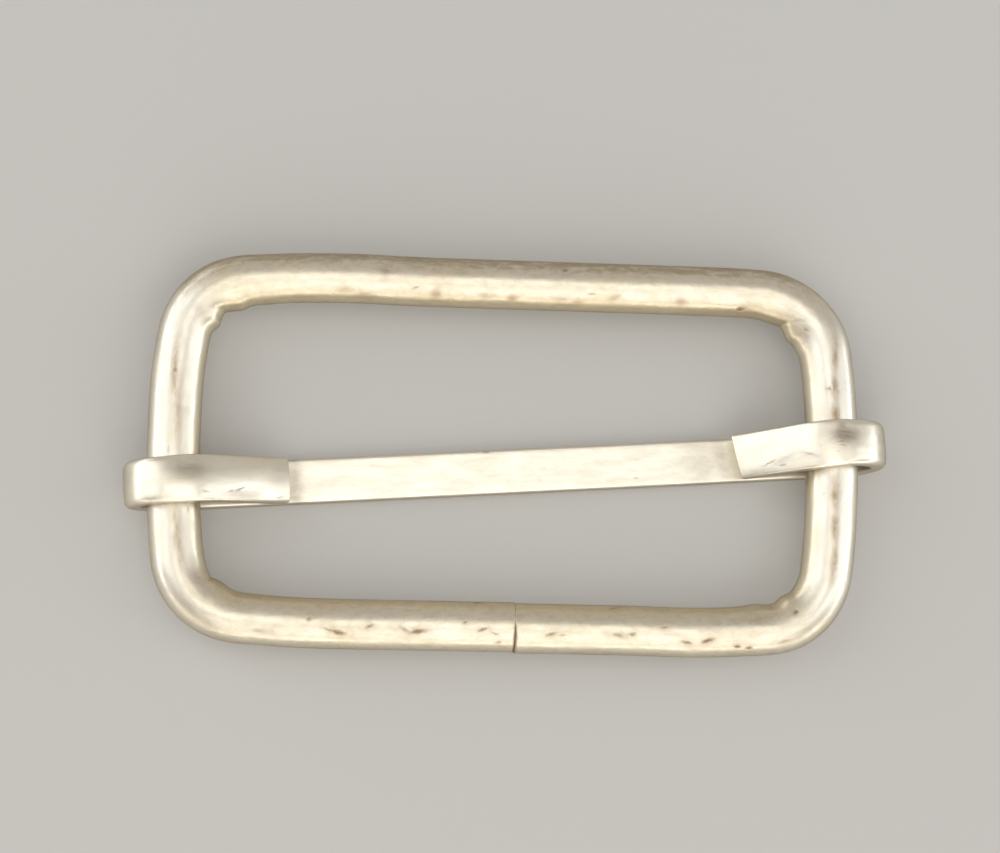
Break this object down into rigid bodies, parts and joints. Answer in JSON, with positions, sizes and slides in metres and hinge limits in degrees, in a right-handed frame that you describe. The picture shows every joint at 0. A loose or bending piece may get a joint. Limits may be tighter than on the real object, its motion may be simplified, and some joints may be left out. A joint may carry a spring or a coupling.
{
  "type": "buckle slider",
  "caption": "Wire strap slider: a rounded rectangular round-wire frame with a flat steel bar folded round its short sides and free to slide across the window.",
  "frame": {"origin": "centre of the whole part, which is the centre of the frame's window in the plane of the wire's centreline", "axes": "+X along the long sides of the frame, to the right when the folded ends face the viewer and the seam is nearest; +Y across the window, from the side with the butt seam to the plain side; +Z out of the window's plane, towards the face on which the bar's folded ends lie"},
  "size_m": [0.0524, 0.0272, 0.0062],
  "materials": {
    "frame_plating": "satin, warm nickel-toned plating on steel wire, scuffed and slightly stained",
    "bar_plating": "satin, warm nickel-toned plating on flat steel strip, paler and smoother than the wire"
  },
  "bodies": {
    "frame": {"wire_frame": "frame_plating"},
    "bar": {"slide_bar": "bar_plating"}
  },
  "joints": [
    {"name": "bar_slide", "type": "slide", "parent": "frame", "child": "bar", "axis": [0, 1, 0], "range_m": [-0.0042, 0.006]}
  ]
}
